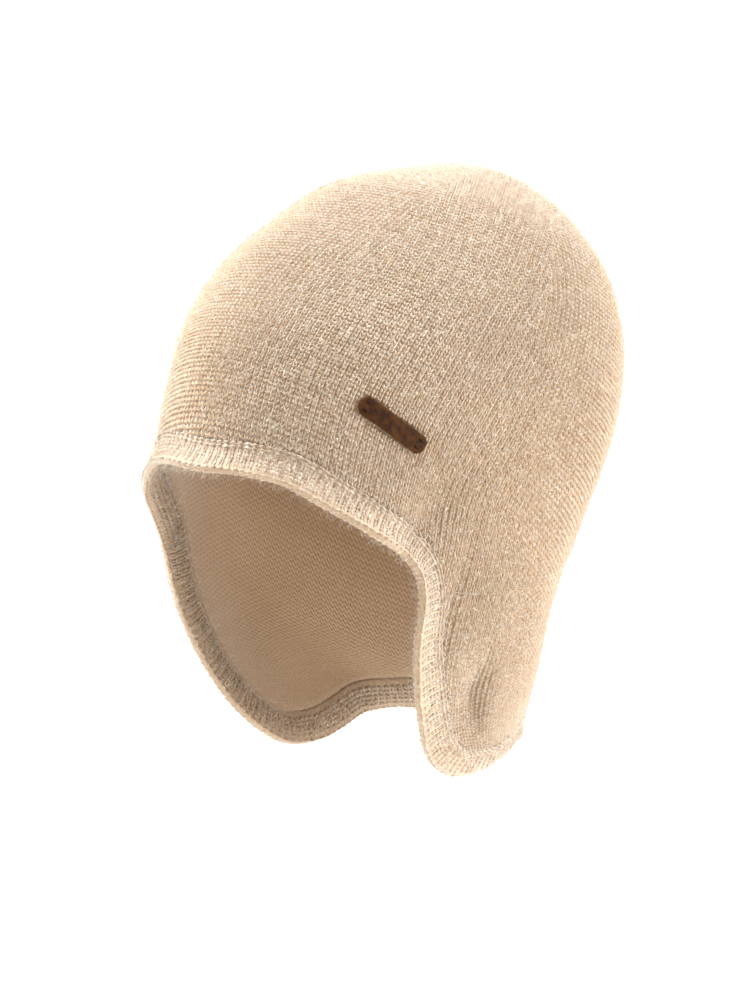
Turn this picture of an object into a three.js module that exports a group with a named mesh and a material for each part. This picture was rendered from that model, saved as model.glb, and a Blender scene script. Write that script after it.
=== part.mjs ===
// Earflap beanie: a knitted shell with ear flaps and nape, its edge band and a small leather tab.
// Millimetres, +Z up, the face opening towards -Y. The origin is the inside of the crown, where the
// cap sits on a head.
import * as THREE from 'three';

// Driving sizes
const WALL = 3;
const GAP = 0.3;
const BAND_WIDTH = 13.4;
const BAND_THICKNESS = 4.4;
const TAB_LENGTH = 32;
const TAB_WIDTH = 7.8;
const TAB_THICKNESS = 1.5;
const TAB_CORNER = 2;

// Mesh steps
const COLUMNS = 96;
const ROWS = 17;
const TAB_STEPS = 7;

// Slanted sections of the shell, from below the hem to the gathered point on top. Each runs from its front
// end to its back end on the middle plane. widest is where along it the half width is reached, 0 at the front.
const SECTIONS = [
  { frontY: -98, frontZ: -230, backY: 33, backZ: -234, halfWidth: 46, widest: 0.56 },
  { frontY: -129, frontZ: -185, backY: 30, backZ: -231, halfWidth: 57, widest: 0.56 },
  { frontY: -143, frontZ: -130, backY: 28, backZ: -226, halfWidth: 67, widest: 0.56 },
  { frontY: -134, frontZ: -89, backY: 27, backZ: -214, halfWidth: 73, widest: 0.56 },
  { frontY: -122, frontZ: -57, backY: 36, backZ: -184, halfWidth: 76, widest: 0.56 },
  { frontY: -105, frontZ: -36, backY: 52, backZ: -149, halfWidth: 82, widest: 0.56 },
  { frontY: -80, frontZ: -19, backY: 67, backZ: -117, halfWidth: 83, widest: 0.56 },
  { frontY: -52, frontZ: -8, backY: 75, backZ: -86, halfWidth: 77, widest: 0.56 },
  { frontY: -22, frontZ: 1.5, backY: 74, backZ: -56, halfWidth: 64, widest: 0.55 },
  { frontY: 14, frontZ: 2.5, backY: 69, backZ: -31, halfWidth: 40, widest: 0.53 },
  { frontY: 38, frontZ: 0.5, backY: 64.5, backZ: -19, halfWidth: 20, widest: 0.51 },
  { frontY: 55, frontZ: -7, backY: 55, backZ: -7, halfWidth: 0, widest: 0.5 },
];

// How square the sections are: 1 is an ellipse, less is squarer
const SQUARENESS = 0.97;

// Seam between shell and band on the left side, from the brow's middle (0 degrees) to the nape's (180).
// bend is how far the band turns away from the head over its width, in degrees.
const SEAM = [
  { angle: 0, height: -85, bend: 48 },
  { angle: 14, height: -85, bend: 45 },
  { angle: 27, height: -89, bend: 38 },
  { angle: 38, height: -98, bend: 42 },
  { angle: 50, height: -110, bend: 56 },
  { angle: 64, height: -127, bend: 60 },
  { angle: 73, height: -152, bend: 38 },
  { angle: 79, height: -199, bend: 16 },
  { angle: 84, height: -222, bend: 10 },
  { angle: 97, height: -227, bend: 8 },
  { angle: 115, height: -225, bend: 13 },
  { angle: 135, height: -220, bend: 18 },
  { angle: 158, height: -217, bend: 22 },
  { angle: 180, height: -216, bend: 22 },
];

// Soft dents: where they are, how far they reach across and up, and how deep they go
const DENTS = [
  { angle: 90, height: -201, across: 7, up: 17, depth: 5 },
  { angle: 76, height: -158, across: 3, up: 26, depth: 1.5 },
  { angle: 64, height: -114, across: 12, up: 13, depth: 4 },
];

// Outline of the band's section: reach along its width and side across its thickness, as shares
const BAND_SECTION = [
  { reach: 0, side: 0.8 },
  { reach: 0.12, side: 1 },
  { reach: 0.55, side: 0.9 },
  { reach: 0.9, side: 0.85 },
  { reach: 1, side: 0.4 },
  { reach: 1, side: -0.4 },
  { reach: 0.9, side: -0.85 },
  { reach: 0.5, side: -0.9 },
  { reach: 0, side: -0.8 },
];

// Place of the leather tab: its middle, and the turn of its length from the knit's courses
const TAB_PLACE = { angle: 48, height: -80, turn: -6 };

const FINISHES = {
  knit: { color: 0xd9c2a3, roughness: 0.95, metalness: 0 },
  band: { color: 0xdec9ac, roughness: 0.95, metalness: 0 },
  leather: { color: 0x43230f, roughness: 0.55, metalness: 0 },
};

// A row of a table between its rows, by a smooth spline through them, for t from 0 to 1
function rowAt(rows, t) {
  const place = THREE.MathUtils.clamp(t, 0, 1) * (rows.length - 1);
  const i = Math.min(Math.floor(place), rows.length - 2);
  const f = place - i;
  const row = {};
  for (const key of Object.keys(rows[i])) {
    const b = rows[i][key];
    const c = rows[i + 1][key];
    const a = i > 0 ? rows[i - 1][key] : 2 * b - c;
    const d = i < rows.length - 2 ? rows[i + 2][key] : 2 * c - b;
    const slope = c - a;
    const bend = 2 * a - 5 * b + 4 * c - d;
    const twist = 3 * b - a - 3 * c + d;
    row[key] = b + 0.5 * f * (slope + f * (bend + f * twist));
  }
  return row;
}

// The shell's outer surface before dents, at an angle from the front and a height t from 0 to 1
function formPoint(angle, t) {
  const section = rowAt(SECTIONS, t);
  const across = Math.sin(angle);
  const along = 0.5 - 0.5 * Math.cos(angle) + (section.widest - 0.5) * across ** 2;
  return new THREE.Vector3(
    section.halfWidth * Math.sign(across) * Math.abs(across) ** SQUARENESS,
    THREE.MathUtils.lerp(section.frontY, section.backY, along),
    THREE.MathUtils.lerp(section.frontZ, section.backZ, along),
  );
}

function formNormal(angle, t) {
  const step = 1e-3;
  const low = Math.min(t, 1 - 2 * step);
  const around = formPoint(angle + step, low).sub(formPoint(angle - step, low));
  const upward = formPoint(angle, low + step).sub(formPoint(angle, low - step));
  return around.cross(upward).normalize();
}

function dentDepth(point, angle) {
  let depth = 0;
  for (const dent of DENTS) {
    const centre = THREE.MathUtils.degToRad(dent.angle);
    const across = (angle - centre) * Math.hypot(point.x, point.y) / dent.across;
    const up = (point.z - dent.height) / dent.up;
    depth += dent.depth * Math.exp(-(across ** 2) - up ** 2);
  }
  return depth;
}

// A point of the knitted wall at a depth under its outer face
function wallPoint(angle, t, depth) {
  const point = formPoint(angle, t);
  const sunk = depth + dentDepth(point, angle);
  return point.addScaledVector(formNormal(angle, t), -sunk);
}

function tAtHeight(angle, height) {
  let low = 0;
  let high = 0.62;
  for (let i = 0; i < 30; i += 1) {
    const middle = (low + high) / 2;
    if (formPoint(angle, middle).z < height) {
      low = middle;
    } else {
      high = middle;
    }
  }
  return (low + high) / 2;
}

// Stations of the whole seam, evenly spaced by length from the brow's middle round to it again
function seamStations(count) {
  const first = { ...SEAM[1], angle: -SEAM[1].angle };
  const last = { ...SEAM.at(-2), angle: 360 - SEAM.at(-2).angle };
  const rows = [first, ...SEAM, last];
  const fine = [];
  const steps = 400;
  let length = 0;
  for (let i = 0; i <= steps; i += 1) {
    const row = rowAt(rows, (1 + (i / steps) * (SEAM.length - 1)) / (rows.length - 1));
    const angle = THREE.MathUtils.degToRad(row.angle);
    const t = tAtHeight(angle, row.height);
    const point = formPoint(angle, t);
    length += i > 0 ? point.distanceTo(fine[i - 1].point) : 0;
    fine.push({ angle, t, point, length, bend: THREE.MathUtils.degToRad(row.bend) });
  }
  const half = [];
  for (let k = 0; k <= count / 2; k += 1) {
    const want = (k / (count / 2)) * length;
    const next = Math.max(1, fine.findIndex((row) => row.length >= want - 1e-9));
    const before = fine[next - 1];
    const after = fine[next];
    const share = (want - before.length) / (after.length - before.length);
    half.push({
      angle: THREE.MathUtils.lerp(before.angle, after.angle, share),
      t: THREE.MathUtils.lerp(before.t, after.t, share),
      bend: THREE.MathUtils.lerp(before.bend, after.bend, share),
    });
  }
  const mirrored = half.slice(1, -1).reverse().map((row) => ({ ...row, angle: 2 * Math.PI - row.angle }));
  return [...half, ...mirrored];
}

// A closed body from rings of points. With no end points the last ring joins the first.
function loft(rings, startPoint, endPoint) {
  const size = rings[0].length;
  const points = rings.flat();
  const triangles = [];
  const closed = startPoint === undefined;
  const spans = closed ? rings.length : rings.length - 1;
  for (let r = 0; r < spans; r += 1) {
    const here = r * size;
    const there = ((r + 1) % rings.length) * size;
    for (let k = 0; k < size; k += 1) {
      const next = (k + 1) % size;
      triangles.push(here + k, here + next, there + next);
      triangles.push(here + k, there + next, there + k);
    }
  }
  if (!closed) {
    const start = points.push(startPoint) - 1;
    const end = points.push(endPoint) - 1;
    const last = (rings.length - 1) * size;
    for (let k = 0; k < size; k += 1) {
      const next = (k + 1) % size;
      triangles.push(start, next, k);
      triangles.push(end, last + k, last + next);
    }
  }
  let volume = 0;
  for (let i = 0; i < triangles.length; i += 3) {
    const [a, b, c] = triangles.slice(i, i + 3).map((index) => points[index]);
    volume += a.dot(b.clone().cross(c));
  }
  const facingOut = volume > 0 ? triangles : triangles.reverse();
  const geometry = new THREE.BufferGeometry();
  geometry.setAttribute('position', new THREE.Float32BufferAttribute(points.flatMap((p) => p.toArray()), 3));
  geometry.setIndex(facingOut);
  geometry.computeVertexNormals();
  return geometry;
}

// The shell: rings from the gathered point down the outside, over the rim and up the inside
function makeShell(stations) {
  const ring = (row, depth) => stations.map((station, k) => {
    const rise = row / ROWS;
    const evenAngle = (k / stations.length) * 2 * Math.PI;
    const turned = 1 - (1 - rise) ** 2;
    const angle = THREE.MathUtils.lerp(station.angle, evenAngle, turned);
    const t = THREE.MathUtils.lerp(station.t, 1, rise);
    return wallPoint(angle, t, depth);
  });
  const outside = [];
  const inside = [];
  for (let row = 0; row < ROWS; row += 1) {
    outside.unshift(ring(row, 0));
    inside.push(ring(row, WALL));
  }
  const gather = formPoint(0, 1);
  const inward = new THREE.Vector3();
  for (let k = 0; k < stations.length; k += 1) {
    inward.sub(formNormal((k / stations.length) * 2 * Math.PI, 1));
  }
  const innerGather = gather.clone().addScaledVector(inward.normalize(), WALL);
  return loft([...outside, ...inside], gather, innerGather);
}

// The band: its section carried along the seam, bending away from the face as it leaves the shell
function makeBand(stations) {
  const rings = stations.map((station, k) => {
    const before = stations[(k + stations.length - 1) % stations.length];
    const after = stations[(k + 1) % stations.length];
    const root = wallPoint(station.angle, station.t, WALL / 2);
    const normal = formNormal(station.angle, station.t);
    const along = wallPoint(after.angle, after.t, 0).sub(wallPoint(before.angle, before.t, 0)).normalize();
    const away = along.clone().cross(normal).normalize();
    const curve = station.bend / BAND_WIDTH;
    return BAND_SECTION.map(({ reach, side }) => {
      const turn = station.bend * reach;
      const offset = side * BAND_THICKNESS / 2;
      const outward = GAP + Math.sin(turn) / curve - offset * Math.sin(turn);
      const upward = (1 - Math.cos(turn)) / curve + offset * Math.cos(turn);
      return root.clone().addScaledVector(away, outward).addScaledVector(normal, upward);
    });
  });
  return loft(rings);
}

// Angle and t of the shell's point at given distances from a centre along two directions in its face
function faceTowards(centre, across, up, reachAcross, reachUp) {
  let { angle, t } = centre;
  const origin = wallPoint(centre.angle, centre.t, 0);
  const step = 1e-3;
  const measure = (a, b) => {
    const from = wallPoint(a, b, 0).sub(origin);
    return [from.dot(across) - reachAcross, from.dot(up) - reachUp];
  };
  for (let i = 0; i < 6; i += 1) {
    const here = measure(angle, t);
    const byAngle = measure(angle + step, t).map((value, j) => (value - here[j]) / step);
    const byT = measure(angle, t + step).map((value, j) => (value - here[j]) / step);
    const size = byAngle[0] * byT[1] - byAngle[1] * byT[0];
    angle -= (here[0] * byT[1] - here[1] * byT[0]) / size;
    t -= (byAngle[0] * here[1] - byAngle[1] * here[0]) / size;
  }
  return { angle, t };
}

// The leather tab: a thin strip with cut corners that follows the shell's curve
function makeTab() {
  const angle = THREE.MathUtils.degToRad(TAB_PLACE.angle);
  const centre = { angle, t: tAtHeight(angle, TAB_PLACE.height) };
  const normal = formNormal(centre.angle, centre.t);
  const step = 1e-3;
  const course = formPoint(angle + step, centre.t).sub(formPoint(angle - step, centre.t)).normalize();
  const lengthwise = course.applyAxisAngle(normal, THREE.MathUtils.degToRad(TAB_PLACE.turn));
  const widthwise = normal.clone().cross(lengthwise);
  const stationPlaces = [{ place: -TAB_LENGTH / 2, half: TAB_WIDTH / 2 - TAB_CORNER }];
  for (let k = 0; k <= TAB_STEPS; k += 1) {
    const place = (k / TAB_STEPS - 0.5) * (TAB_LENGTH - 2 * TAB_CORNER);
    stationPlaces.push({ place, half: TAB_WIDTH / 2 });
  }
  stationPlaces.push({ place: TAB_LENGTH / 2, half: TAB_WIDTH / 2 - TAB_CORNER });
  const rings = stationPlaces.map(({ place, half }) => {
    const corners = [[-half, 0], [0, 0], [half, 0], [half, 1], [0, 1], [-half, 1]];
    return corners.map(([side, level]) => {
      const spot = faceTowards(centre, lengthwise, widthwise, place, side);
      return wallPoint(spot.angle, spot.t, -GAP - level * TAB_THICKNESS);
    });
  });
  const middle = (ring) => ring[1].clone().lerp(ring[4], 0.5);
  return loft(rings, middle(rings[0]), middle(rings.at(-1)));
}

function makePiece(name, geometry, finish) {
  const mesh = new THREE.Mesh(geometry, new THREE.MeshStandardMaterial(finish));
  mesh.name = name;
  return mesh;
}

const stations = seamStations(COLUMNS);
const beanie = new THREE.Group();
beanie.add(makePiece('knit_shell', makeShell(stations), FINISHES.knit));
beanie.add(makePiece('edge_band', makeBand(stations), FINISHES.band));
beanie.add(makePiece('leather_tab', makeTab(), FINISHES.leather));

export default beanie;
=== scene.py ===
"""Looks of the earflap beanie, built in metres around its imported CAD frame."""
import logging
import math
from dataclasses import dataclass, field
from enum import Enum
from typing import Any, NamedTuple

import bpy
import numpy as np
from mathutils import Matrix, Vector


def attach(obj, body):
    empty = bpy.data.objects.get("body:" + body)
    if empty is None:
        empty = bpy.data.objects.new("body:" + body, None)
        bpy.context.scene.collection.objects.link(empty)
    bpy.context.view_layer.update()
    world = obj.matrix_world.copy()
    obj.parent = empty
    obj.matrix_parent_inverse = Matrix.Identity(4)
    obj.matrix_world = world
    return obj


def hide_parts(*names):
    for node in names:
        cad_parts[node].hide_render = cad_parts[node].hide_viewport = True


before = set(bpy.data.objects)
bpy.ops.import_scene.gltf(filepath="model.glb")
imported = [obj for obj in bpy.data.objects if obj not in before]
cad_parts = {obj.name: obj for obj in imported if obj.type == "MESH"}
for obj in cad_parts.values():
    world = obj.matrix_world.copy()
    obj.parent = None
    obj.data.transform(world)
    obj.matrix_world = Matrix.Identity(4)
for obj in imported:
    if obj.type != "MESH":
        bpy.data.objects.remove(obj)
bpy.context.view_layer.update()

log = logging.getLogger("beanie")

MM = 0.001
BODY = "root"
TURN = 2 * math.pi
WHITE = (1, 1, 1, 1)
KNIT_MAP = "knit"


class Section(NamedTuple):
    """A slanted section of the shell, from its front end to its back end, in millimetres."""

    front_y: float
    front_z: float
    back_y: float
    back_z: float
    half_width: float
    widest: float


class SeamMark(NamedTuple):
    """A mark on the seam of the left side: degrees from the front, millimetres, degrees of bend."""

    angle: float
    height: float
    bend: float


class Dent(NamedTuple):
    """A soft dent of the left side: degrees from the front, and millimetres."""

    angle: float
    height: float
    across: float
    up: float
    depth: float


class BandMark(NamedTuple):
    """A mark on the band's outline: shares of its width and of half its thickness."""

    reach: float
    side: float


class Chain(NamedTuple):
    """A chain of stitches along the band: the same two shares, and its width in millimetres."""

    reach: float
    side: float
    width: float


class Lamp(NamedTuple):
    """A soft square light: degrees from the front and over the level, metres, metres and watts."""

    name: str
    azimuth: float
    elevation: float
    distance: float
    size: float
    power: float


SECTIONS = (
    Section(-98, -230, 33, -234, 46, 0.56),
    Section(-129, -185, 30, -231, 57, 0.56),
    Section(-143, -130, 28, -226, 67, 0.56),
    Section(-134, -89, 27, -214, 73, 0.56),
    Section(-122, -57, 36, -184, 76, 0.56),
    Section(-105, -36, 52, -149, 82, 0.56),
    Section(-80, -19, 67, -117, 83, 0.56),
    Section(-52, -8, 75, -86, 77, 0.56),
    Section(-22, 1.5, 74, -56, 64, 0.55),
    Section(14, 2.5, 69, -31, 40, 0.53),
    Section(38, 0.5, 64.5, -19, 20, 0.51),
    Section(55, -7, 55, -7, 0, 0.5),
)

SEAM = (
    SeamMark(0, -85, 48),
    SeamMark(14, -85, 45),
    SeamMark(27, -89, 38),
    SeamMark(38, -98, 42),
    SeamMark(50, -110, 56),
    SeamMark(64, -127, 60),
    SeamMark(73, -152, 38),
    SeamMark(79, -199, 16),
    SeamMark(84, -222, 10),
    SeamMark(97, -227, 8),
    SeamMark(115, -225, 13),
    SeamMark(135, -220, 18),
    SeamMark(158, -217, 22),
    SeamMark(180, -216, 22),
)

DENTS = (
    Dent(90, -201, 7, 17, 5),
    Dent(76, -158, 3, 26, 1.5),
    Dent(64, -114, 12, 13, 4),
)

BAND_FACE = (
    BandMark(0, 0.8),
    BandMark(0.12, 1),
    BandMark(0.55, 0.9),
    BandMark(0.9, 0.85),
    BandMark(1, 0.4),
)

BAND_BACK = (
    BandMark(1, -0.4),
    BandMark(0.9, -0.85),
    BandMark(0.5, -0.9),
    BandMark(0, -0.8),
)

CHAINS = (
    Chain(0.97, 0.45, 2.2),
    Chain(0.97, -0.45, 2.2),
    Chain(0, 0.75, 2.8),
    Chain(0.13, 0.85, 2.4),
)

LAMPS = (
    Lamp("key_light", -62, 50, 1.8, 0.9, 100),
    Lamp("side_light", 122, 14, 1.8, 0.8, 72),
    Lamp("top_light", -20, 84, 1.6, 1.0, 17),
)


class Face(Enum):
    """The two faces of the edge band."""

    OUTER = 1
    INNER = -1


def unit(vectors: np.ndarray) -> np.ndarray:
    """The same vectors at length 1."""
    return vectors / np.linalg.norm(vectors, axis=-1, keepdims=True)


def square_to(ways: np.ndarray, others: np.ndarray) -> np.ndarray:
    """The ways at length 1, turned to stand square to others of length 1."""
    return unit(ways - others * (ways * others).sum(-1, keepdims=True))


def chord(points: np.ndarray) -> np.ndarray:
    """From the point before each one to the point after it, on a closed line."""
    return np.roll(points, -1, 0) - np.roll(points, 1, 0)


def around(count: int) -> np.ndarray:
    """Angles evenly round a whole turn, from 0."""
    return np.linspace(0, TURN, count, endpoint=False)


def running_sum(moves: np.ndarray) -> np.ndarray:
    """The sum up to each place, from 0 at the first."""
    return np.concatenate([[0], np.cumsum(moves)])


def signed_power(wave: np.ndarray, power: float) -> np.ndarray:
    """Values raised to a power, with their signs kept."""
    return np.sign(wave) * np.abs(wave) ** power


def spline_rows(table: np.ndarray, share: np.ndarray) -> np.ndarray:
    """Rows of a table between its rows, by a smooth spline through them.

    Args:
        table: The rows, evenly spaced.
        share: Places along the table, from 0 to 1.

    Returns:
        One row of values for each place.
    """
    place = np.clip(np.asarray(share, float), 0, 1) * (len(table) - 1)
    index = np.minimum(place.astype(int), len(table) - 2)
    f = (place - index)[..., None]
    b = table[index]
    c = table[index + 1]
    first = (index > 0)[..., None]
    last = (index < len(table) - 2)[..., None]
    a = np.where(first, table[np.maximum(index - 1, 0)], 2 * b - c)
    d = np.where(last, table[np.minimum(index + 2, len(table) - 1)], 2 * c - b)
    slope = c - a
    bend = 2 * a - 5 * b + 4 * c - d
    twist = 3 * b - a - 3 * c + d
    return b + 0.5 * f * (slope + f * (bend + f * twist))


@dataclass(frozen=True)
class Stations:
    """Places along the whole seam, from the brow's middle round to it again."""

    angle: np.ndarray
    t: np.ndarray
    bend: np.ndarray
    length: float


@dataclass(frozen=True)
class Form:
    """The cap's form in metres, from the same sizes as its CAD solids.

    A place on it is an angle from the front, in radians, and a t from 0 under the hem to 1 at the
    gathered point on top.
    """

    wall: float = 3 * MM
    squareness: float = 0.97
    step: float = 1e-3
    lower_part: float = 0.62
    halvings: int = 30
    curve_steps: int = 400
    seam_steps: int = 720
    sections: np.ndarray = field(default_factory=lambda: np.array(SECTIONS) * ((MM,) * 5 + (1,)))
    seam: np.ndarray = field(default_factory=lambda: np.array(SEAM) * (TURN / 360, MM, TURN / 360))
    dents: tuple[Dent, ...] = DENTS

    def point(self, angle: np.ndarray, t: np.ndarray) -> np.ndarray:
        """The outer surface before dents.

        Args:
            angle: Angles from the front.
            t: Heights from 0 to 1.

        Returns:
            One point for each place.
        """
        rows = spline_rows(self.sections, t)
        front_y, front_z, back_y, back_z, half_width, widest = np.moveaxis(rows, -1, 0)
        across = np.sin(angle)
        along = 0.5 - 0.5 * np.cos(angle) + (widest - 0.5) * across ** 2
        x = half_width * signed_power(across, self.squareness)
        y = front_y + (back_y - front_y) * along
        z = front_z + (back_z - front_z) * along
        return np.stack([x, y, z], -1)

    def normal(self, angle: np.ndarray, t: np.ndarray) -> np.ndarray:
        """Outward directions.

        Args:
            angle: Angles from the front.
            t: Heights from 0 to 1.

        Returns:
            One direction of length 1 for each place.
        """
        low = np.minimum(t, 1 - 2 * self.step)
        sideways = self.point(angle + self.step, low) - self.point(angle - self.step, low)
        upward = self.point(angle, low + self.step) - self.point(angle, low - self.step)
        return unit(np.cross(sideways, upward))

    def wall_point(self, angle: np.ndarray, t: np.ndarray, depth: float) -> np.ndarray:
        """Points of the knitted wall.

        Args:
            angle: Angles from the front.
            t: Heights from 0 to 1.
            depth: How far under the outer face, less than 0 above it.

        Returns:
            One point for each place.
        """
        point = self.point(angle, t)
        turned = np.mod(angle + math.pi, TURN) - math.pi
        sunk = np.full(point.shape[:-1], float(depth))
        for dent in self.dents:
            reach = np.hypot(point[..., 0], point[..., 1])
            across = (turned - math.radians(dent.angle)) * reach / (dent.across * MM)
            up = (point[..., 2] - dent.height * MM) / (dent.up * MM)
            sunk += dent.depth * MM * np.exp(-(across ** 2) - up ** 2)
        return point - self.normal(angle, t) * sunk[..., None]

    def t_at_height(self, angle: np.ndarray, height: np.ndarray) -> np.ndarray:
        """The t at which the lower part of the form has a height.

        Args:
            angle: Angles from the front.
            height: Heights in metres.

        Returns:
            One t for each place, by halving.
        """
        low = np.zeros_like(angle)
        high = np.full_like(angle, self.lower_part)
        for _ in range(self.halvings):
            middle = (low + high) / 2
            below = self.point(angle, middle)[..., 2] < height
            low = np.where(below, middle, low)
            high = np.where(below, high, middle)
        return (low + high) / 2

    def stations(self, count: int) -> Stations:
        """Places along the seam, evenly spaced by length.

        Args:
            count: How many, an even number.

        Returns:
            The stations, with the seam's whole length.
        """
        first = self.seam[1] * (-1, 1, 1)
        last = self.seam[-2] * (-1, 1, 1) + (TURN, 0, 0)
        table = np.vstack([first, self.seam, last])
        steps = np.linspace(1, len(self.seam), self.curve_steps + 1) / (len(table) - 1)
        angle, height, bend = np.moveaxis(spline_rows(table, steps), -1, 0)
        t = self.t_at_height(angle, height)
        length = running_sum(np.linalg.norm(np.diff(self.point(angle, t), axis=0), axis=-1))
        want = np.linspace(0, length[-1], count // 2 + 1)
        angle, t, bend = (np.interp(want, length, row) for row in (angle, t, bend))
        back = slice(-2, 0, -1)
        return Stations(
            np.concatenate([angle, TURN - angle[back]]),
            np.concatenate([t, t[back]]),
            np.concatenate([bend, bend[back]]),
            2 * length[-1],
        )

    def seam_t(self, angle: np.ndarray) -> np.ndarray:
        """The seam's t at each angle."""
        seam = self.stations(self.seam_steps)
        return np.interp(np.mod(angle, TURN), np.append(seam.angle, TURN), np.append(seam.t, seam.t[0]))


class Value:
    """One output of a node, with arithmetic that adds the Math nodes it needs."""

    def __init__(self, graph: "Graph", socket: bpy.types.NodeSocket) -> None:
        """Keeps the graph and the output."""
        self.graph = graph
        self.socket = socket

    def math(self, operation: str, *operands: Any) -> "Value":
        """One Math node on this value and others.

        Args:
            operation: The node's operation.
            operands: Numbers or values, in order.

        Returns:
            The node's result.
        """
        node = self.graph.node("ShaderNodeMath", {"operation": operation})
        for socket, operand in zip(node.inputs, operands):
            self.graph.feed(socket, operand)
        return Value(self.graph, node.outputs[0])

    def __add__(self, other: Any) -> "Value":
        """Sum."""
        return self.math("ADD", self, other)

    def __radd__(self, other: Any) -> "Value":
        """Sum."""
        return self.math("ADD", other, self)

    def __sub__(self, other: Any) -> "Value":
        """Difference."""
        return self.math("SUBTRACT", self, other)

    def __rsub__(self, other: Any) -> "Value":
        """Difference, turned round."""
        return self.math("SUBTRACT", other, self)

    def __mul__(self, other: Any) -> "Value":
        """Product."""
        return self.math("MULTIPLY", self, other)

    def __rmul__(self, other: Any) -> "Value":
        """Product."""
        return self.math("MULTIPLY", other, self)

    def __abs__(self) -> "Value":
        """Size without sign."""
        return self.math("ABSOLUTE", self)

    def sine(self) -> "Value":
        """Sine of an angle in radians."""
        return self.math("SINE", self)

    def less_than(self, other: Any) -> "Value":
        """1 where the value is less than another, else 0."""
        return self.math("LESS_THAN", self, other)

    def between(self, low: float, high: float) -> "Value":
        """How far the value is from low to high, eased, from 0 to 1.

        Args:
            low: The value that gives 0.
            high: The value that gives 1.

        Returns:
            The eased share.
        """
        settings = {"interpolation_type": "SMOOTHSTEP"}
        inputs = {"Value": self, "From Min": low, "From Max": high}
        return self.graph.value("ShaderNodeMapRange", settings, inputs)


class Graph:
    """A node tree that is filled by calls and expressions."""

    def __init__(self, tree: bpy.types.NodeTree) -> None:
        """Empties the tree."""
        self.tree = tree
        tree.nodes.clear()

    def feed(self, socket: bpy.types.NodeSocket, value: Any) -> None:
        """Sets a socket to a number or links a value to it.

        Args:
            socket: The socket.
            value: A number, or an output to link.
        """
        if isinstance(value, Value):
            self.tree.links.new(value.socket, socket)
        else:
            socket.default_value = value

    def find(self, sockets: Any, name: str) -> bpy.types.NodeSocket:
        """The socket that has an identifier, or else a name."""
        return next((socket for socket in sockets if socket.identifier == name), None) or sockets[name]

    def node(self, kind: str, settings: dict[str, Any] | None = None,
             inputs: dict[str, Any] | None = None) -> bpy.types.Node:
        """Adds a node.

        Args:
            kind: The node's type.
            settings: Its own settings, such as a Math node's operation, set first.
            inputs: Numbers or values by the socket's identifier or name.

        Returns:
            The node.
        """
        node = self.tree.nodes.new(kind)
        for name, setting in (settings or {}).items():
            setattr(node, name, setting)
        for name, value in (inputs or {}).items():
            self.feed(self.find(node.inputs, name), value)
        return node

    def value(self, kind: str, settings: dict[str, Any] | None = None,
              inputs: dict[str, Any] | None = None, output: str | None = None) -> Value:
        """Adds a node and takes one of its outputs.

        Args:
            kind: The node's type.
            settings: Its own settings.
            inputs: Numbers or values by the socket's identifier or name.
            output: The output's identifier or name, or else the first one is taken.

        Returns:
            The output.
        """
        outputs = self.node(kind, settings, inputs).outputs
        return Value(self, self.find(outputs, output) if output else outputs[0])

    def place(self) -> Value:
        """Where a point of the surface is, in the object's own frame."""
        return self.value("ShaderNodeTexCoord", None, None, "Object")

    def stored(self, name: str) -> Value:
        """A number stored on the mesh."""
        return self.value("ShaderNodeAttribute", {"attribute_name": name}, None, "Fac")

    def noise(self, place: Value, scale: float, detail: float = 2, stretch: tuple = (1, 1, 1)) -> Value:
        """Noise from about 0 to 1.

        Args:
            place: Where it is read.
            scale: Grains for each metre.
            detail: How many finer octaves it has.
            stretch: The scale along each axis.

        Returns:
            The noise.
        """
        turned = self.value("ShaderNodeMapping", None, {"Vector": place, "Scale": stretch})
        inputs = {"Vector": turned, "Scale": scale, "Detail": detail}
        return self.value("ShaderNodeTexNoise", None, inputs, "Fac")

    def blend(self, share: Any, start: Any, end: Any) -> Value:
        """A colour between two, by a share from 0 to 1."""
        inputs = {"Factor_Float": share, "A_Color": start, "B_Color": end}
        return self.value("ShaderNodeMix", {"data_type": "RGBA"}, inputs, "Result_Color")

    def bump(self, height: Value, strength: float, distance: float) -> Value:
        """The surface's direction, tilted by a height."""
        inputs = {"Strength": strength, "Distance": distance, "Height": height}
        return self.value("ShaderNodeBump", None, inputs)

    def dress(self, inputs: dict[str, Any]) -> None:
        """Ends a material in one surface with these inputs."""
        surface = self.value("ShaderNodeBsdfPrincipled", None, inputs)
        self.node("ShaderNodeOutputMaterial", None, {"Surface": surface})


def paint(code: int) -> tuple[float, float, float, float]:
    """A colour in linear light.

    Args:
        code: The colour as it is seen, 0xRRGGBB.

    Returns:
        Red, green, blue and alpha.
    """
    seen = [(code >> shift & 255) / 255 for shift in (16, 8, 0)]
    linear = [c / 12.92 if c <= 0.04045 else ((c + 0.055) / 1.055) ** 2.4 for c in seen]
    return (*linear, 1.0)


def new_material(name: str) -> tuple[bpy.types.Material, Graph]:
    """An empty node material.

    Args:
        name: Its name.

    Returns:
        The material and its graph.
    """
    material = bpy.data.materials.new(name)
    material.use_nodes = True
    return material, Graph(material.node_tree)


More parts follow.
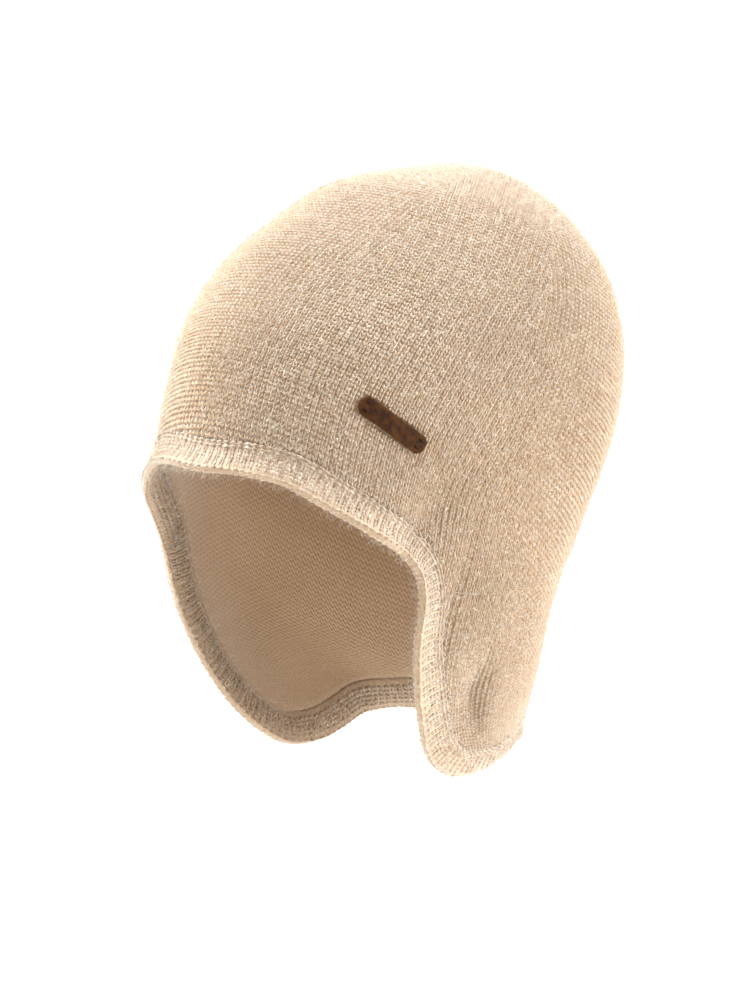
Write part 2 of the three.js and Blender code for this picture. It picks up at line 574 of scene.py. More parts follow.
@dataclass(frozen=True)
class WoolFinish:
    """Brushed heather wool: darker and lighter strands, soft sheen and fine fuzz.

    The scales count grains for each metre. The shares say how much each of them changes the tone,
    and the three places say where on the tone each colour is reached.
    """

    name: str
    deep: int = 0x9f8165
    middle: int = 0xc8ac8e
    pale: int = 0xebdac5
    fleck: float = 1300
    strand: float = 3380
    strand_stretch: float = 0.35
    patch: float = 26
    hair: float = 5200
    fleck_share: float = 0.7
    strand_share: float = 0.4
    patch_share: float = 0.35
    tone_share: float = 0.12
    deep_at: float = 0.1
    middle_at: float = 0.5
    pale_at: float = 0.95
    rough: float = 0.87
    rough_change: float = 0.1
    specular: float = 0.25
    sheen: float = 1.0
    sheen_rough: float = 0.35
    fuzz: float = 0.25
    relief: float = 0.6
    relief_depth: float = 0.5 * MM
    purl: bool = False
    purl_swing: float = 0.22
    purl_row: float = 0.3
    purl_wale: float = 0.12

    def make(self) -> bpy.types.Material:
        """Builds the material.

        Returns:
            The finished wool.
        """
        material, graph = new_material(self.name)
        place = graph.place()
        fleck = graph.noise(place, self.fleck, 3)
        strand = graph.noise(place, self.strand, 1, (1, 1, self.strand_stretch))
        patch = graph.noise(place, self.patch)
        heather = 0.5 + (fleck - 0.5) * self.fleck_share + (strand - 0.5) * self.strand_share
        heather = heather + (patch - 0.5) * self.patch_share
        shade = heather + graph.stored("tone") * self.tone_share
        to_middle = shade.between(self.deep_at, self.middle_at)
        to_pale = shade.between(self.middle_at, self.pale_at)
        lower = graph.blend(to_middle, paint(self.deep), paint(self.middle))
        height = graph.noise(place, self.hair) * self.fuzz
        if self.purl:
            height = height + self.purl_height(graph)
        graph.dress({
            "Base Color": graph.blend(to_pale, lower, paint(self.pale)),
            "Roughness": strand * self.rough_change + self.rough,
            "Sheen Weight": self.sheen,
            "Sheen Roughness": self.sheen_rough,
            "Sheen Tint": WHITE,
            "Specular IOR Level": self.specular,
            "Normal": graph.bump(height, self.relief, self.relief_depth),
        })
        return material

    def purl_height(self, graph: Graph) -> Value:
        """Rows of purl loops on the inside face, from the wall's own map.

        Args:
            graph: The material's graph.

        Returns:
            The height of the loops.
        """
        mapped = graph.value("ShaderNodeUVMap", {"uv_map": KNIT_MAP})
        split = graph.node("ShaderNodeSeparateXYZ", None, {"Vector": mapped})
        wale = Value(graph, split.outputs["X"])
        course = Value(graph, split.outputs["Y"])
        swing = (wale * TURN).sine()
        rows = ((course + swing * self.purl_swing) * TURN).sine()
        return rows * self.purl_row + abs(swing) * self.purl_wale


@dataclass(frozen=True)
class LeatherFinish:
    """Dark brown leather, finely grained, paler and smoother where its edges are worn.

    The scales count grains for each metre. The ranges say where each noise starts and ends to show.
    """

    name: str = "dark_leather"
    deep: int = 0x281203
    middle: int = 0x482604
    worn: int = 0x623b0c
    mottle: float = 330
    scuff: float = 900
    pores: float = 1500
    creases: float = 2400
    mottle_range: tuple[float, float] = (0.3, 0.72)
    scuff_range: tuple[float, float] = (0.35, 0.6)
    wear: float = 0.75
    pore_depth: float = 0.8
    crease_depth: float = 0.5
    relief: float = 0.55
    relief_depth: float = 0.12 * MM
    rough: float = 0.74
    edge_smooth: float = 0.12
    scuff_change: float = 0.2
    specular: float = 0.14

    def make(self) -> bpy.types.Material:
        """Builds the material.

        Returns:
            The finished leather.
        """
        material, graph = new_material(self.name)
        place = graph.place()
        edge = graph.stored("edge")
        mottle = graph.noise(place, self.mottle, 4)
        scuff = graph.noise(place, self.scuff, 3)
        cells = {"Vector": place, "Scale": self.pores}
        pores = graph.value("ShaderNodeTexVoronoi", {"feature": "SMOOTH_F1"}, cells, "Distance")
        body = graph.blend(mottle.between(*self.mottle_range), paint(self.deep), paint(self.middle))
        worn = edge * scuff.between(*self.scuff_range) * self.wear
        height = pores * self.pore_depth + graph.noise(place, self.creases) * self.crease_depth
        graph.dress({
            "Base Color": graph.blend(worn, body, paint(self.worn)),
            "Roughness": self.rough - edge * self.edge_smooth + (scuff - 0.5) * self.scuff_change,
            "Specular IOR Level": self.specular,
            "Normal": graph.bump(height, self.relief, self.relief_depth),
        })
        return material


@dataclass(frozen=True)
class ThreadFinish:
    """Waxed brown sewing thread with its twist."""

    name: str = "brown_thread"
    deep: int = 0x1c0e06
    pale: int = 0x341d0d
    twist: float = 2600 / 3
    waver: float = 1.5
    rough: float = 0.7
    rough_change: float = 0.15
    specular: float = 0.15
    relief: float = 0.5
    relief_depth: float = 0.1 * MM

    def make(self) -> bpy.types.Material:
        """Builds the material.

        Returns:
            The finished thread.
        """
        material, graph = new_material(self.name)
        waves = {"Vector": graph.place(), "Scale": self.twist, "Distortion": self.waver}
        strand = graph.value("ShaderNodeTexWave", {"bands_direction": "DIAGONAL"}, waves, "Fac")
        graph.dress({
            "Base Color": graph.blend(strand, paint(self.deep), paint(self.pale)),
            "Roughness": self.rough + strand * self.rough_change,
            "Specular IOR Level": self.specular,
            "Normal": graph.bump(strand, self.relief, self.relief_depth),
        })
        return material


@dataclass(frozen=True)
class FloorFinish:
    """Plain pale floor with a barely seen unevenness, which gives off most of its own light."""

    name: str = "pale_floor"
    base: int = 0xb0a89c
    shade: int = 0xa9a195
    light: int = 0xfbfcff
    patch: float = 3
    rough: float = 0.9
    glow: float = 0.93

    def make(self) -> bpy.types.Material:
        """Builds the material.

        Returns:
            The finished floor.
        """
        material, graph = new_material(self.name)
        patch = graph.noise(graph.place(), self.patch, 3)
        graph.dress({
            "Base Color": graph.blend(patch, paint(self.base), paint(self.shade)),
            "Roughness": self.rough,
            "Emission Color": paint(self.light),
            "Emission Strength": self.glow,
        })
        return material


def add_object(name: str, data: Any) -> bpy.types.Object:
    """Adds an object to the scene.

    Args:
        name: Its name.
        data: Its mesh, camera or light.

    Returns:
        The object, at the origin.
    """
    made = bpy.data.objects.new(name, data)
    bpy.context.scene.collection.objects.link(made)
    return made


def add_mesh(name: str, points: np.ndarray, faces: list | np.ndarray,
             *materials: bpy.types.Material) -> bpy.types.Object:
    """Adds a smooth mesh.

    Args:
        name: Its name.
        points: Its vertices.
        faces: Vertex numbers of each face, none for a cloud of points.
        materials: What it is dressed in, the first one everywhere.

    Returns:
        The object.
    """
    mesh = bpy.data.meshes.new(name)
    mesh.from_pydata(points.reshape(-1, 3).tolist(), [], [list(face) for face in faces])
    mesh.validate()
    mesh.shade_smooth()
    for material in materials:
        mesh.materials.append(material)
    return add_object(name, mesh)


def add_attribute(made: bpy.types.Object, name: str, values: np.ndarray) -> None:
    """Stores numbers or vectors on an object's points.

    Args:
        made: The mesh object.
        name: The attribute's name.
        values: One number or vector for each point.
    """
    vector = values.ndim == 2
    attribute = made.data.attributes.new(name, "FLOAT_VECTOR" if vector else "FLOAT", "POINT")
    attribute.data.foreach_set("vector" if vector else "value", values.astype(np.float32).ravel())


def grid_faces(rings: int, size: int, closed: bool) -> np.ndarray:
    """Four-sided faces between rings of points.

    Args:
        rings: How many rings.
        size: Points in each ring.
        closed: Whether the last ring joins the first.

    Returns:
        Vertex numbers, turned so that a ring that runs round +Z and a next ring above it face out.
    """
    here = np.arange(rings if closed else rings - 1)[:, None] * size
    there = (here + size) % (rings * size)
    k = np.arange(size)[None]
    after = (k + 1) % size
    return np.stack([here + k, here + after, there + after, there + k], -1).reshape(-1, 4)


def capped_faces(rings: int, size: int, first_tip: int, last_tip: int) -> list[list[int]]:
    """Faces of a tube of rings that a point closes at each end.

    Args:
        rings: How many rings.
        size: Points in each ring.
        first_tip: Vertex number of the point before the first ring.
        last_tip: Vertex number of the point past the last one.

    Returns:
        Vertex numbers, turned as grid_faces turns them.
    """
    k = np.arange(size)
    after = (k + 1) % size
    end = (rings - 1) * size
    first_fan = np.stack([after, k, np.full(size, first_tip)], -1)
    last_fan = np.stack([end + k, end + after, np.full(size, last_tip)], -1)
    return grid_faces(rings, size, False).tolist() + first_fan.tolist() + last_fan.tolist()


class PointTree:
    """A geometry node tree with named inputs, run on an object and turned into a plain mesh."""

    def __init__(self, name: str, sizes: dict[str, float]) -> None:
        """Makes the tree with its inputs.

        Args:
            name: The tree's name.
            sizes: The named sizes with their values.
        """
        self.sizes = sizes
        self.tree = bpy.data.node_groups.new(name, "GeometryNodeTree")
        self.graph = Graph(self.tree)
        interface = self.tree.interface
        interface.new_socket("Geometry", in_out="OUTPUT", socket_type="NodeSocketGeometry")
        interface.new_socket("Geometry", in_out="INPUT", socket_type="NodeSocketGeometry")
        interface.new_socket("Material", in_out="INPUT", socket_type="NodeSocketMaterial")
        for size_name, size in sizes.items():
            kind = "NodeSocketInt" if isinstance(size, int) else "NodeSocketFloat"
            interface.new_socket(size_name, in_out="INPUT", socket_type=kind)
        self.inputs = self.graph.node("NodeGroupInput")

    def given(self, name: str) -> Value:
        """One of the tree's inputs."""
        return Value(self.graph, self.inputs.outputs[name])

    def attribute(self, name: str) -> Value:
        """A vector stored on the points."""
        settings = {"data_type": "FLOAT_VECTOR"}
        return self.graph.value("GeometryNodeInputNamedAttribute", settings, {"Name": name})

    def end(self, instances: Value) -> None:
        """Ends the tree: real meshes, smooth, with their material.

        Args:
            instances: The instances to end with.
        """
        real = self.graph.value("GeometryNodeRealizeInstances", None, {"Geometry": instances})
        smooth = self.graph.value("GeometryNodeSetShadeSmooth", None, {"Geometry": real})
        inputs = {"Geometry": smooth, "Material": self.given("Material")}
        dressed = self.graph.value("GeometryNodeSetMaterial", None, inputs)
        self.graph.node("NodeGroupOutput", None, {"Geometry": dressed})

    def run(self, made: bpy.types.Object, material: bpy.types.Material) -> bpy.types.Object:
        """Runs the tree on an object, which becomes the resulting plain mesh.

        Args:
            made: The object with the points or faces that the tree reads.
            material: What the result is dressed in.

        Returns:
            The same object.
        """
        modifier = made.modifiers.new(self.tree.name, "NODES")
        modifier.node_group = self.tree
        for item in self.tree.interface.items_tree:
            if item.in_out == "INPUT" and item.name in self.sizes:
                modifier[item.identifier] = self.sizes[item.name]
            if item.in_out == "INPUT" and item.name == "Material":
                modifier[item.identifier] = material
        bpy.context.view_layer.update()
        evaluated = made.evaluated_get(bpy.context.evaluated_depsgraph_get())
        mesh = bpy.data.meshes.new_from_object(evaluated)
        mesh.name = made.name
        made.modifiers.clear()
        made.data = mesh
        for name in ("along", "out", "grow"):
            if name in mesh.attributes:
                mesh.attributes.remove(mesh.attributes[name])
        return made


@dataclass(frozen=True)
class Leg:
    """One of the two strands of a knit stitch, thickest in its middle, as shares and real sizes."""

    width: float = 1.35 * MM
    length: float = 3.3 * MM
    thickness: float = 1.2 * MM
    lean: float = math.radians(17)
    dip: float = math.radians(9)
    spread: float = 0.22
    splay: float = 0.18
    fill: float = 0.94
    sides: int = 4
    rings: int = 2
    wander: float = 0.05 * MM
    lean_change: float = 0.05
    size_change: float = 0.05
    tone_change: float = 0.6
    tone_limit: float = 1.5

    def tree(self) -> PointTree:
        """The tree that lays one leg on each point, along and facing as the point says.

        Returns:
            The tree.
        """
        laid = PointTree("knit_legs", {
            "Leg width": self.width, "Leg length": self.length, "Leg thickness": self.thickness,
            "Leg sides": self.sides, "Leg rings": self.rings,
        })
        graph = laid.graph
        ball = graph.value("GeometryNodeMeshUVSphere", None, {
            "Segments": laid.given("Leg sides"), "Rings": laid.given("Leg rings"), "Radius": 0.5,
        })
        lying = graph.value("GeometryNodeTransform", None, {
            "Geometry": ball, "Rotation": (math.pi / 2, -math.pi / 2, 0),
        })
        size = graph.value("ShaderNodeCombineXYZ", None, {
            "X": laid.given("Leg width"), "Y": laid.given("Leg length"), "Z": laid.given("Leg thickness"),
        })
        leg = graph.value("GeometryNodeTransform", None, {"Geometry": lying, "Scale": size})
        turn = graph.value("FunctionNodeAxesToRotation", {"primary_axis": "Z", "secondary_axis": "Y"}, {
            "Primary Axis": laid.attribute("out"), "Secondary Axis": laid.attribute("along"),
        })
        laid.end(graph.value("GeometryNodeInstanceOnPoints", None, {
            "Points": laid.given("Geometry"), "Instance": leg,
            "Rotation": turn, "Scale": laid.attribute("grow"),
        }))
        return laid


@dataclass
class Strands:
    """Legs to lay: where each one is, the way it runs and faces, its relative size and its tone."""

    place: np.ndarray
    along: np.ndarray
    out: np.ndarray
    grow: np.ndarray
    tone: np.ndarray

    def columns(self) -> tuple[np.ndarray, ...]:
        """All that is known of the strands, in the order of the fields."""
        return self.place, self.along, self.out, self.grow, self.tone

    def only(self, keep: np.ndarray) -> "Strands":
        """The strands that a mask keeps."""
        return Strands(*(column[keep] for column in self.columns()))

    def plus(self, *others: "Strands") -> "Strands":
        """These strands and others together."""
        every = zip(self.columns(), *(other.columns() for other in others))
        return Strands(*(np.concatenate(blocks) for blocks in every))

    def lay(self, name: str, leg: Leg, material: bpy.types.Material) -> bpy.types.Object:
        """Makes the mesh of all the legs.

        Args:
            name: The piece's name.
            leg: The shape of one leg.
            material: Its wool.

        Returns:
            The piece.
        """
        made = add_mesh(name, self.place, [])
        for attribute in ("along", "out", "grow", "tone"):
            add_attribute(made, attribute, getattr(self, attribute))
        return leg.tree().run(made, material)


def pair_legs(place: np.ndarray, along: np.ndarray, out: np.ndarray, width: np.ndarray,
              stretch: np.ndarray, leg: Leg, random: np.random.Generator) -> Strands:
    """Two legs for each stitch, leaning apart towards the way it runs.

    Args:
        place: The stitches' middles.
        along: The way each one runs.
        out: The way each one faces.
        width: How wide each one is.
        stretch: The relative length of each one.
        leg: The shape of one leg.
        random: Where small differences come from.

    Returns:
        The strands.
    """
    side = unit(np.cross(along, out))
    count = len(place)
    halves = []
    for sign in (-1, 1):
        middle = place + side * (sign * width * leg.spread)[:, None]
        middle = middle + random.normal(0, leg.wander, (count, 3))
        lean = leg.lean + random.normal(0, leg.lean_change, count)
        aside = side * (sign * np.sin(lean))[:, None]
        axis = along * np.cos(lean)[:, None] + aside - out * math.sin(leg.dip)
        facing = unit(out + side * (sign * leg.splay))
        grow = np.stack([width / (2 * leg.width) * leg.fill, stretch, np.ones(count)], -1)
        grow = grow * random.normal(1, leg.size_change, (count, 1))
        tone = random.normal(0, 1, count) * leg.tone_change
        tone = np.clip(tone, -leg.tone_limit, leg.tone_limit)
        halves.append(Strands(middle, unit(axis), facing, grow, tone))
    return halves[0].plus(halves[1])


@dataclass
class KnitShell:
    """The knitted body: its wall, and the stitches that show on its outer face.

    The stitches keep their number round the form up to crown_t, and are narrowed off above it.
    """

    form: Form
    outer_wool: WoolFinish
    # The wall's outer face wears a darker wool than the stitches: painted shade between and under them.
    under_wool_painted_shade: WoolFinish
    inner_wool: WoolFinish
    columns: int = 320
    rows: int = 46
    wale: float = 2.4 * MM
    course: float = 2.1 * MM
    sectors: int = 8
    crown_t: float = 0.55
    top_t: float = 1 - 1e-4
    hem_overlap: float = 0.001
    border_overlap: float = 0.3
    proud: float = 0.12 * MM
    least_stretch: float = 0.7
    most_stretch: float = 1.5
    sweep_steps: int = 1500
    length_steps: int = 400
    length_angles: int = 24
    map_steps: int = 200
    map_radius: float = 84 * MM
    skin_lift: float = 0.4 * MM
    skin_columns: int = 192
    skin_rows: int = 40
    leg: Leg = Leg()
    seed: int = 11

    def wall_rings(self, depth: float, size: int, rows: int) -> tuple[np.ndarray, np.ndarray, np.ndarray]:
        """Rings of the wall's face at a depth, from the seam up.

        Args:
            depth: How far under the outer face.
            size: Points in each ring.
            rows: How many rings.

        Returns:
            Points, angles and t of each ring.
        """
        stations = self.form.stations(size)
        rise = (np.arange(rows) / rows)[:, None]
        even = around(size)[None]
        turned = 1 - (1 - rise) ** 2
        angle = stations.angle[None] * (1 - turned) + even * turned
        t = stations.t[None] * (1 - rise) + rise
        return self.form.wall_point(angle, t, depth), angle, t

    def make_wall(self) -> bpy.types.Object:
        """Builds the hollow wall, open at the face and neck.

        Returns:
            The piece that stands for the CAD shell.
        """
        outer, angle, t = self.wall_rings(0, self.columns, self.rows)
        inner, _, _ = self.wall_rings(self.form.wall, self.columns, self.rows)
        rings = np.concatenate([inner[::-1], outer])
        angles = np.concatenate([angle[::-1], angle])
        heights = np.concatenate([t[::-1], t])
        size = self.columns
        count = len(rings) * size
        gather = self.form.point(np.zeros(1), np.ones(1))
        inward = -unit(self.form.normal(around(size), np.ones(size)).sum(0))
        points = np.concatenate([rings.reshape(-1, 3), gather + inward * self.form.wall, gather])
        faces = capped_faces(len(rings), size, count, count + 1)
        # The first material is darker, painted shade on the wall between the stitches; the second is the
        # inside face.
        wall = add_mesh("knit_wall", points, faces, self.under_wool_painted_shade.make(), self.inner_wool.make())
        self.map_knit(wall, np.append(angles, [0, 0]), np.append(heights, [1, 1]))
        inner_end = (self.rows - 1) * size
        inside = [int(polygon.vertices[0] < inner_end) for polygon in wall.data.polygons]
        wall.data.polygons.foreach_set("material_index", inside)
        return wall

    def skin(self, first: float, last: float) -> bpy.types.Object:
        """A part of the outer face alone, for the fuzz to grow from.

        Args:
            first: Where it starts, in degrees from the front.
            last: Where it ends.

        Returns:
            The faces.
        """
        points, angle, _ = self.wall_rings(-self.skin_lift, self.skin_columns, self.skin_rows)
        faces = grid_faces(len(points), self.skin_columns, False)
        middle = np.degrees(angle.reshape(-1)[faces[:, 0]])
        kept = np.mod(middle - first, 360) < last - first
        return add_mesh("skin", points, faces[kept])

    def map_knit(self, wall: bpy.types.Object, angles: np.ndarray, heights: np.ndarray) -> None:
        """Gives the wall a map that counts its wales and courses.

        Args:
            wall: The wall.
            angles: The angle of each point.
            heights: The t of each point.
        """
        loops = np.zeros(len(wall.data.loops), np.int32)
        wall.data.loops.foreach_get("vertex_index", loops)
        starts = np.zeros(len(wall.data.polygons), np.int32)
        totals = np.zeros(len(wall.data.polygons), np.int32)
        wall.data.polygons.foreach_get("loop_start", starts)
        wall.data.polygons.foreach_get("loop_total", totals)
        turned = angles[loops].copy()
        face_of = np.repeat(np.arange(len(starts)), totals)
        highest = np.maximum.reduceat(turned, starts)
        turned[(highest[face_of] - turned) > math.pi] += TURN
        fine = np.linspace(0, 1, self.map_steps)
        tall = np.interp(heights[loops], fine, self.path_length(fine))
        wales = round(TURN * self.map_radius / self.wale)
        mapped = np.stack([turned / TURN * wales, tall / self.course], -1)
        layer = wall.data.uv_layers.new(name=KNIT_MAP)
        layer.data.foreach_set("uv", mapped.astype(np.float32).ravel())

    def path_length(self, t: np.ndarray) -> np.ndarray:
        """Mean length up the form.

        Args:
            t: Heights from 0 to 1, the lowest first.

        Returns:
            The length from the first height to each one.
        """
        angles = around(self.length_angles)[:, None]
        points = self.form.point(angles, t[None])
        moves = np.linalg.norm(np.diff(points, axis=1), axis=-1).mean(0)
        return running_sum(moves)

    def stitch_places(self) -> tuple[np.ndarray, np.ndarray, np.ndarray, np.ndarray, np.ndarray]:
        """Where the stitches of the outer face lie.

        The wales are even round the lower part. In the crown they keep their width, sector by sector,
        and end where two sectors meet.

        Returns:
            Angle, t, and the same of the next place up the wale, and the wale's width.
        """
        fine = np.linspace(0, 1, self.length_steps)
        length = self.path_length(fine)
        courses = np.interp(np.arange(self.course / 2, length[-1], self.course), length, fine)
        sweep = np.linspace(-math.pi / 2, TURN + math.pi / 2, self.sweep_steps)
        borders = (np.arange(self.sectors)[:, None] + (-0.5, 0.5)) * TURN / self.sectors

        def ring(t: float) -> tuple[np.ndarray, np.ndarray]:
            """Length round a ring of the form.

            Args:
                t: The ring's height.

            Returns:
                The length at each angle of the sweep, and at the sector borders.
            """
            points = self.form.point(sweep, np.full_like(sweep, t))
            arc = running_sum(np.linalg.norm(np.diff(points, axis=0), axis=-1))
            return arc, np.interp(borders, sweep, arc)

        _, crown_arcs = ring(self.crown_t)
        counts = np.round((crown_arcs[:, 1] - crown_arcs[:, 0]) / self.wale).astype(int)
        laid = []
        for here, above in zip(courses, np.append(courses[1:], self.top_t)):
            arc, arcs = ring(here)
            arc_above, arcs_above = ring(above)
            for sector, count in enumerate(counts):
                place = np.arange(count) - (count - 1) / 2
                room = arcs[sector, 1] - arcs[sector, 0]
                room_above = arcs_above[sector, 1] - arcs_above[sector, 0]
                crown = (crown_arcs[sector, 1] - crown_arcs[sector, 0]) / count
                width = room / count if here < self.crown_t else crown
                width_above = room_above / count if above < self.crown_t else crown
                place = place[np.abs(place) * width < room / 2 + self.border_overlap * width]
                angle = np.interp(arcs[sector].mean() + place * width, arc, sweep)
                angle_above = np.interp(arcs_above[sector].mean() + place * width_above, arc_above, sweep)
                full = np.ones_like(angle)
                laid.append(np.stack([angle, full * here, angle_above, full * above, full * width]))
        angle, t, angle_above, t_above, width = np.concatenate(laid, axis=1)
        keep = t > self.form.seam_t(angle) - self.hem_overlap
        return angle[keep], t[keep], angle_above[keep], t_above[keep], width[keep]

    def make_stitches(self, tab: "LeatherTab") -> list[bpy.types.Object]:
        """Builds the stitches of the outer face as three pieces: front, left and right.

        Args:
            tab: The tab, which hides the stitches under it.

        Returns:
            The pieces.
        """
        angle, t, angle_above, t_above, width = self.stitch_places()
        place = self.form.wall_point(angle, t, -self.proud)
        above = self.form.wall_point(angle_above, t_above, -self.proud)
        rise = np.linalg.norm(above - place, axis=-1)
        out = self.form.normal(angle, t)
        along = square_to(above - place, out)
        random = np.random.default_rng(self.seed)
        stretch = np.clip(rise / self.course, self.least_stretch, self.most_stretch)
        strands = pair_legs(place, along, out, width, stretch, self.leg, random)
        turned = np.mod(np.concatenate([angle, angle]), TURN)
        shown = ~tab.covers(strands.place)
        strands = strands.only(shown)
        turned = turned[shown]
        third = TURN / 3
        parts = {
            "knit_stitches_front": (turned < third / 2) | (turned >= TURN - third / 2),
            "knit_stitches_left": (turned >= third / 2) & (turned < math.pi),
            "knit_stitches_right": (turned >= math.pi) & (turned < TURN - third / 2),
        }
        wool = self.outer_wool.make()
        return [strands.only(keep).lay(name, self.leg, wool) for name, keep in parts.items()]


@dataclass
class EdgeBand:
    """The ribbed band round the whole opening, with its linked seam and cast-off edge."""

    form: Form
    wool: WoolFinish
    groove_wool: WoolFinish
    width: float = 13.4 * MM
    thickness: float = 4.4 * MM
    gap: float = 0.3 * MM
    rib: float = 3.0 * MM
    rib_share: float = 0.84
    steps_per_rib: int = 6
    section_points: int = 22
    groove: float = 0.18 * MM
    courses: int = 5
    course: float = 2.1 * MM
    face_start: float = 0.2
    face_end: float = 0.86
    reach_step: float = 0.02
    chain_leg: Leg = Leg(1.0 * MM, 2.9 * MM, 1.1 * MM, math.radians(14))
    rib_leg: Leg = Leg(1.0 * MM, 3.2 * MM, 0.8 * MM, math.radians(8), fill=1.14)
    # How much paler the chains are than the ribbing: partly their own tone, partly a painted highlight on
    # the seam ridge and the edge.
    chain_tone_and_highlight: float = 0.3
    skin_swell: float = 1.15
    seed: int = 23

    def section(self) -> np.ndarray:
        """Reach and side of the band's outline, as shares, smooth and closed.

        Returns:
            One row for each point.
        """
        marks = np.array(BAND_FACE + BAND_BACK)
        looped = np.vstack([marks[-1], marks, marks[:2]])
        share = np.linspace(0, 1, self.section_points, endpoint=False)
        smooth = spline_rows(looped, (1 + share * len(marks)) / (len(looped) - 1))
        return np.clip(smooth, -1, 1)

    def surface(self, stations: Stations, reach: np.ndarray, side: np.ndarray) -> np.ndarray:
        """Points of the band at each station.

        Args:
            stations: Places along the seam.
            reach: Shares of the width, one column for each point.
            side: Shares of half the thickness, one column for each point.

        Returns:
            Points by station and column.
        """
        wall = self.form.wall
        root = self.form.wall_point(stations.angle, stations.t, wall / 2)[:, None]
        normal = self.form.normal(stations.angle, stations.t)[:, None]
        edge = self.form.wall_point(stations.angle, stations.t, 0)
        along = unit(chord(edge))[:, None]
        away = unit(np.cross(along, normal))
        bend = stations.bend[:, None]
        turn = bend * reach
        curve = bend / self.width
        offset = side * self.thickness / 2
        outward = self.gap + np.sin(turn) / curve - offset * np.sin(turn)
        upward = (1 - np.cos(turn)) / curve + offset * np.cos(turn)
        return root + away * outward[..., None] + normal * upward[..., None]

    def ribs(self) -> int:
        """How many ribs fit round the whole band, an even number."""
        return 2 * round(self.form.stations(self.form.seam_steps).length / self.rib / 2)

    def make_core(self) -> bpy.types.Object:
        """Builds the band's body, grooved between its ribs.

        Returns:
            The piece that stands for the CAD band.
        """
        count = self.ribs() * self.steps_per_rib
        stations = self.form.stations(count)
        section = self.section()
        phase = np.arange(count)[:, None] / self.steps_per_rib * TURN
        valley = (0.5 - 0.5 * np.cos(phase)) * self.groove / (self.thickness / 2)
        reach = np.broadcast_to(section[:, 0], (count, len(section)))
        side = section[:, 1] * (1 - valley)
        points = self.surface(stations, reach, side)
        faces = grid_faces(count, len(section), True)
        return add_mesh("edge_band_core", points, faces, self.groove_wool.make())

    def skin(self) -> bpy.types.Object:
        """The band's faces just over its stitches, for the fuzz to grow from.

        Returns:
            The faces.
        """
        count = self.ribs()
        section = self.section()
        reach = np.broadcast_to(section[:, 0], (count, len(section)))
        side = np.broadcast_to(section[:, 1] * self.skin_swell, (count, len(section)))
        points = self.surface(self.form.stations(count), reach, side)
        return add_mesh("skin", points, grid_faces(count, len(section), True))

    def face_strands(self, face: Face, random: np.random.Generator) -> Strands:
        """The ribs' stitches on one face of the band.

        Args:
            face: Which face.
            random: Where small differences come from.

        Returns:
            The strands.
        """
        stations = self.form.stations(self.ribs())
        count = len(stations.angle)
        deep = self.face_end - self.face_start
        reach = (np.arange(self.courses) + 0.5) / self.courses * deep + self.face_start
        side = np.interp(reach, *np.array(BAND_FACE).T) * face.value
        reaches = np.broadcast_to(reach, (count, len(reach)))
        sides = np.broadcast_to(side, (count, len(side)))
        place = self.surface(stations, reaches, sides)
        ahead = self.surface(stations, reaches + self.reach_step, sides)
        along = unit(ahead - place)
        out = unit(np.cross(along, chord(place))) * face.value
        flat = [block.reshape(-1, 3) for block in (place, along, out)]
        width = np.full(len(flat[0]), self.rib * self.rib_share)
        stretch = np.full(len(flat[0]), self.width * deep / self.courses / self.course)
        return pair_legs(*flat, width, stretch, self.rib_leg, random)

    def chain_strands(self, chain: Chain, random: np.random.Generator) -> Strands:
        """The stitches of a chain that runs along the band.

        Args:
            chain: Where it lies, and its width.
            random: Where small differences come from.

        Returns:
            The strands.
        """
        stations = self.form.stations(self.ribs())
        count = len(stations.angle)
        column = np.ones((count, 1))
        place = self.surface(stations, column * chain.reach, column * chain.side)[:, 0]
        heart = self.surface(stations, column / 2, column * 0)[:, 0]
        along = unit(chord(place))
        out = square_to(place - heart, along)
        step = np.linalg.norm(np.roll(place, -1, 0) - place, axis=-1)
        width = np.full(count, chain.width * MM)
        strands = pair_legs(place, along, out, width, step / self.course, self.chain_leg, random)
        # Paler chains: partly a painted highlight along the raised seam and the cast-off edge.
        strands.tone += self.chain_tone_and_highlight
        return strands

    def make_stitches(self) -> list[bpy.types.Object]:
        """Builds the stitches of both faces, and the chains at the seam and the edge.

        Returns:
            The pieces.
        """
        random = np.random.default_rng(self.seed)
        wool = self.wool.make()
        outer, inner = (self.face_strands(face, random) for face in Face)
        first, *others = (self.chain_strands(chain, random) for chain in CHAINS)
        return [
            outer.plus(inner).lay("band_ribbing", self.rib_leg, wool),
            first.plus(*others).lay("band_chains", self.chain_leg, wool),
        ]


@dataclass(frozen=True)
class TabStitch:
    """One of the short stitches that hold the tab down, in real sizes."""

    radius: float = 0.36 * MM
    half_length: float = 1.1 * MM
    from_end: float = 3.2 * MM
    from_middle: float = 1.7 * MM
    sunk: float = 0.35 * MM
    bow: float = 0.55 * MM
    sides: int = 8
    steps: int = 12


